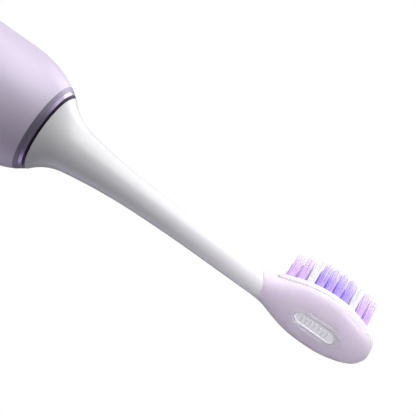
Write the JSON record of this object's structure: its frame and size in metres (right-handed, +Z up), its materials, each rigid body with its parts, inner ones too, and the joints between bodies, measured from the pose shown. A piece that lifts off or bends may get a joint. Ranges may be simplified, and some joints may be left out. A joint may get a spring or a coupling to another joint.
{
  "type": "electric toothbrush",
  "caption": "Electric toothbrush standing on its base: round tapered-shoulder handle, metal collar bands, snap-off brush head with a flared neck and an oval bristle paddle.",
  "frame": {"origin": "middle of the base, on the surface that the handle stands on", "axes": "+Z up the handle towards the brush head; the power button and the bristles face -Y"},
  "size_m": [0.0258, 0.0258, 0.2469],
  "materials": {
    "pearl_lilac": "satin pearl",
    "satin_metal": "satin anodised",
    "violet_metal": "polished anodised",
    "dark_plastic": "matte",
    "black_rubber": "matte",
    "grey_silicone": "satin",
    "copper_wire": "enamelled",
    "ferrite": "matte sintered",
    "frame_plastic": "moulded",
    "screw_steel": "zinc plated",
    "board_laminate": "solder mask",
    "tan_ceramic": "matte",
    "light_package": "clear resin",
    "clear_plastic": "polished",
    "cell_wrap": "film-wrapped can",
    "nickel": "rolled strip",
    "button_lilac": "soft gloss",
    "zinc_steel": "zinc plated",
    "bronze": "sintered",
    "lamination_steel": "stacked laminations",
    "magnet_nickel": "nickel plated",
    "shaft_steel": "ground",
    "white_plastic": "soft gloss",
    "lilac_translucent": "translucent gloss",
    "frosted_plate": "frosted translucent",
    "badge_grey": "satin",
    "bristle_pink": "nylon filament",
    "bristle_white": "nylon filament",
    "bristle_violet": "nylon filament"
  },
  "bodies": {
    "handle": {"accent_ring": "violet_metal", "base_cap": "pearl_lilac", "base_seal": "black_rubber", "battery_cell": "cell_wrap", "battery_tabs": "nickel", "board_capacitors": "tan_ceramic", "board_screws": "screw_steel", "button_membrane": "grey_silicone", "charge_coil": "copper_wire", "charger_chip": "dark_plastic", "circuit_board": "board_laminate", "coil_leads": "copper_wire", "collar_ring": "satin_metal", "controller_chip": "dark_plastic", "ferrite_sleeve": "ferrite", "handle_shell": "pearl_lilac", "indicator_leds": "light_package", "inner_frame": "frame_plastic", "light_guide": "clear_plastic", "lower_bearing": "bronze", "motor_can": "zinc_steel", "motor_dampers": "black_rubber", "motor_end_cap": "dark_plastic", "motor_leads": "copper_wire", "motor_nose": "zinc_steel", "shaft_seal": "black_rubber", "stator_core": "lamination_steel", "stator_windings": "copper_wire", "switch_frame": "frame_plastic", "tact_switch": "dark_plastic", "top_cap": "dark_plastic", "upper_bearing": "bronze"},
    "shaft": {"drive_shaft": "shaft_steel", "shaft_retainer": "shaft_steel", "rotor_core": "lamination_steel", "rotor_magnets": "magnet_nickel"},
    "button": {"power_button": "button_lilac", "switch_plunger": "frame_plastic"},
    "brush_head": {"neck": "white_plastic", "neck_insert": "frame_plastic", "shaft_sleeve": "frame_plastic", "shaft_clip": "shaft_steel", "head_shell": "lilac_translucent", "tuft_plate": "frosted_plate", "badge_pedestal": "frosted_plate", "badge_plate": "badge_grey", "bristles_heel": "bristle_pink", "bristles_white": "bristle_white", "bristles_middle": "bristle_violet", "bristles_toe": "bristle_pink", "tuft_anchors": "nickel"}
  },
  "joints": [
    {"name": "shaft_swing", "type": "hinge", "parent": "handle", "child": "shaft", "pos_m": [0, 0, 0.166], "axis": [0, 0, 1], "range_deg": [-4, 4], "stiffness_Nm_per_rad": 0.02},
    {"name": "head_pull", "type": "slide", "parent": "shaft", "child": "brush_head", "axis": [0, 0, 1], "range_m": [0, 0.022]},
    {"name": "button_press", "type": "slide", "parent": "handle", "child": "button", "axis": [0, 1, 0], "range_m": [0, 0.0004], "stiffness_N_per_m": 500, "deforming": ["button_membrane"]}
  ]
}
